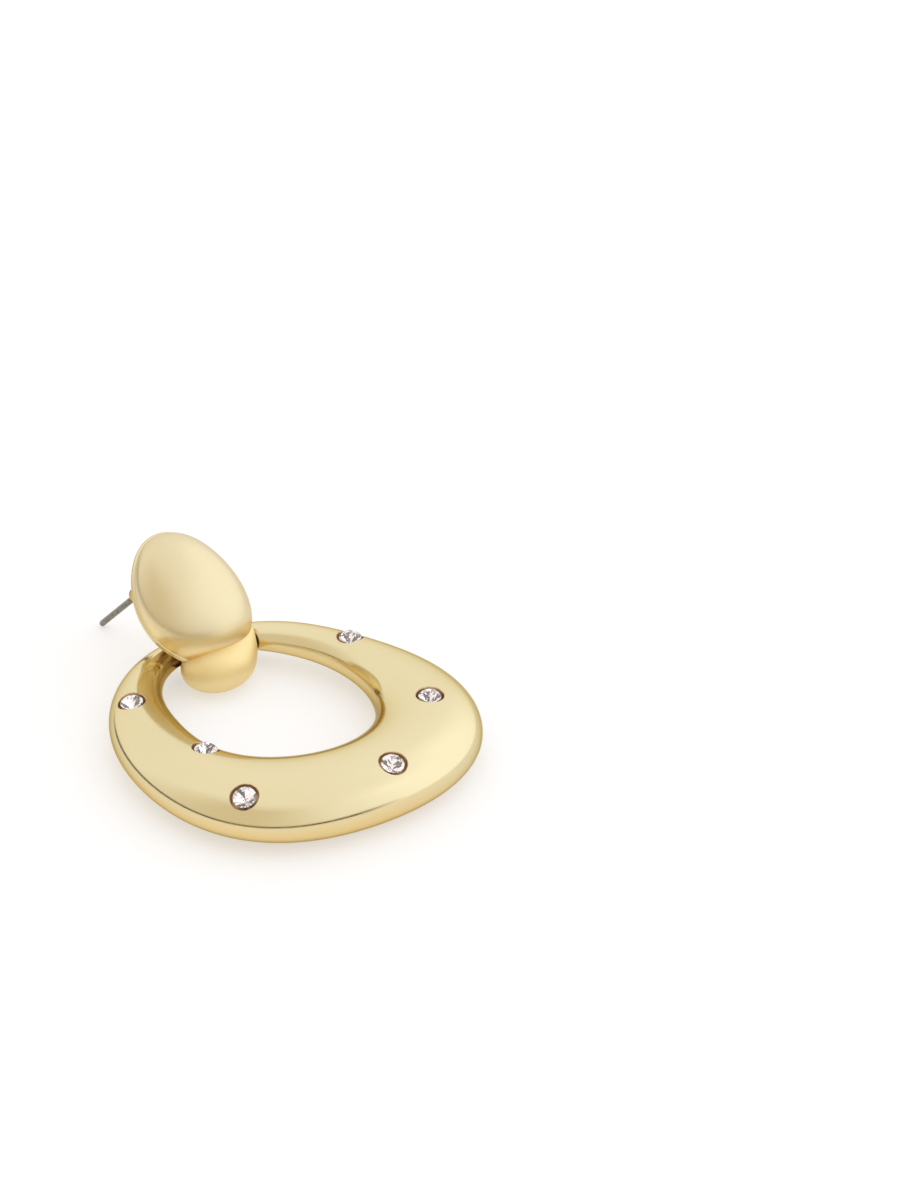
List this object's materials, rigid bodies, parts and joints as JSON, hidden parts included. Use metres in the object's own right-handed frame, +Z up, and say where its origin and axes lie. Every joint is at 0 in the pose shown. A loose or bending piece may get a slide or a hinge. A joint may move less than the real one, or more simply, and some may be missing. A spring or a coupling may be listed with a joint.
{
  "type": "doorknocker earring",
  "caption": "Doorknocker earring: a puffed, pierced pear-shaped ring set with small crystals swings by its bar in the loop of a domed stud with an ear post.",
  "frame": {"origin": "middle of the earring's footprint box, on the surface it lies on", "axes": "+Z up from the surface; +X along the ring's bar, which is the hinge axis; +Y from the ring's thick end towards the stud and the ear post"},
  "size_m": [0.045, 0.0572, 0.0178],
  "materials": {
    "gold": "polished pale gold plate",
    "gold_satin": "softly brushed pale gold plate",
    "post_steel": "plain drawn steel",
    "crystal": "clear faceted glass, foiled behind"
  },
  "bodies": {
    "ring_body": {"ring": "gold", "stone_1": "crystal", "stone_2": "crystal", "stone_3": "crystal", "stone_4": "crystal", "stone_5": "crystal", "stone_6": "crystal"},
    "stud_body": {"stud": "gold_satin", "ear_post": "post_steel"}
  },
  "joints": [
    {"name": "stud_swing", "type": "hinge", "parent": "ring_body", "child": "stud_body", "pos_m": [-0.0035, 0.01344, 0.00359], "axis": [1, 0, 0], "range_deg": [-150, 20]}
  ]
}
